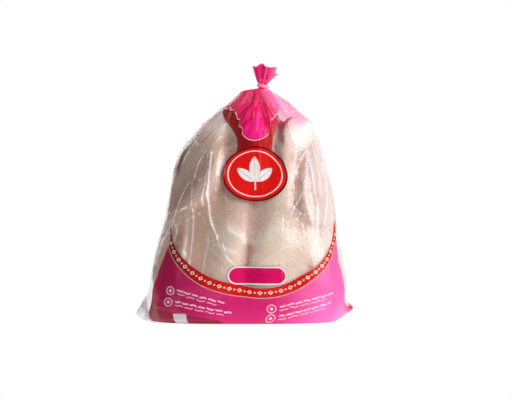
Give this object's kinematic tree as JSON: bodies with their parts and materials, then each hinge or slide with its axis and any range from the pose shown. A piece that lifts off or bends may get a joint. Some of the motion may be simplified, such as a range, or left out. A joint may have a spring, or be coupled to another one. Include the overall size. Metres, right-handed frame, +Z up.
{
  "type": "whole raw chicken in a tied film bag",
  "caption": "Whole raw chicken standing on its neck end in a clear, partly printed film bag, gathered at the top and closed with a narrow band.",
  "frame": {"origin": "middle of the pack's outline, on the surface it stands on", "axes": "+Z up to the gathered top, -Y the front of the print and the breast side, +X the side the tuft leans to"},
  "size_m": [0.239, 0.1252, 0.2839],
  "materials": {
    "film": "clear glossy film with pink and red print, drawn over pale skin",
    "skin": "moist raw poultry skin, cream with pink creases",
    "tie": "pale pink translucent band"
  },
  "bodies": {
    "root": {"bag": "film", "neck_tie": "tie"}
  },
  "joints": []
}
